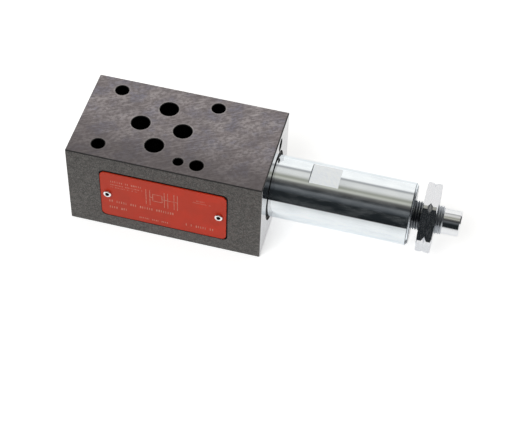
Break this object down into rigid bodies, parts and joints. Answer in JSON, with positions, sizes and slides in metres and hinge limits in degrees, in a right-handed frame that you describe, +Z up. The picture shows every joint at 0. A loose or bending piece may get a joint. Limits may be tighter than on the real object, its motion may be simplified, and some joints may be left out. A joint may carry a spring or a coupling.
{
  "type": "hydraulic sandwich valve",
  "caption": "Modular hydraulic plate valve: ported steel block with an adjustable screw-in relief cartridge, spring, poppet and lock nut.",
  "frame": {"origin": "middle of the four ports on the block's underside, the mounting face", "axes": "+X along the cartridge away from the block, +Y away from the name plate, +Z up out of the top face"},
  "size_m": [0.1562, 0.0452, 0.04],
  "materials": {
    "blackened_steel": "blackened steel, satin, fine machining marks",
    "plate_enamel": "orange-red enamel on aluminium, satin",
    "rivet_aluminium": "bright",
    "plated_steel": "bright zinc plating, polished",
    "machined_steel": "fine turned",
    "screw_steel": "zinc plated thread",
    "nut_steel": "zinc plated, satin",
    "spring_steel": "oil-tempered wire",
    "seal_rubber": "moulded",
    "backup_ptfe": "turned"
  },
  "bodies": {
    "root": {"valve_block": "blackened_steel", "name_plate": "plate_enamel", "plate_rivet_left": "rivet_aluminium", "plate_rivet_right": "rivet_aluminium", "cartridge_housing": "plated_steel", "shoulder_o_ring": "seal_rubber", "seat_sleeve": "machined_steel", "nose_o_ring": "seal_rubber", "nose_backup_ring_front": "backup_ptfe", "nose_backup_ring_rear": "backup_ptfe", "pressure_spring": "spring_steel", "port_o_ring_p": "seal_rubber", "port_o_ring_t": "seal_rubber", "port_o_ring_a": "seal_rubber", "port_o_ring_b": "seal_rubber", "plug_sleeve": "machined_steel", "plug_ball": "machined_steel"},
    "spring_plate": {"rear_spring_plate": "machined_steel", "adjuster_o_ring": "seal_rubber"},
    "adjusting_screw": {"adjusting_screw": "screw_steel"},
    "lock_nut": {"lock_nut": "nut_steel"},
    "poppet": {"poppet": "machined_steel", "front_spring_guide": "machined_steel"}
  },
  "joints": [
    {"name": "setting_travel", "type": "slide", "parent": "root", "child": "spring_plate", "axis": [-1, 0, 0], "range_m": [-0.0035, 0.00275], "deforming": ["pressure_spring"]},
    {"name": "screw_turn", "type": "hinge", "parent": "spring_plate", "child": "adjusting_screw", "pos_m": [0.1042, -0.00025, 0.02], "axis": [-1, 0, 0], "range_deg": [-1261, 991]},
    {"name": "nut_turn", "type": "hinge", "parent": "adjusting_screw", "child": "lock_nut", "pos_m": [0.11055, -0.00025, 0.02], "axis": [-1, 0, 0], "range_deg": [-990, 1110]},
    {"name": "poppet_lift", "type": "slide", "parent": "root", "child": "poppet", "axis": [1, 0, 0], "range_m": [0, 0.0012], "stiffness_N_per_m": 200, "springref_m": -0.002, "deforming": ["pressure_spring"]}
  ],
  "couplings": [
    {"joint": "screw_turn", "follows": "setting_travel", "rad_per_m": 6283.2}
  ]
}
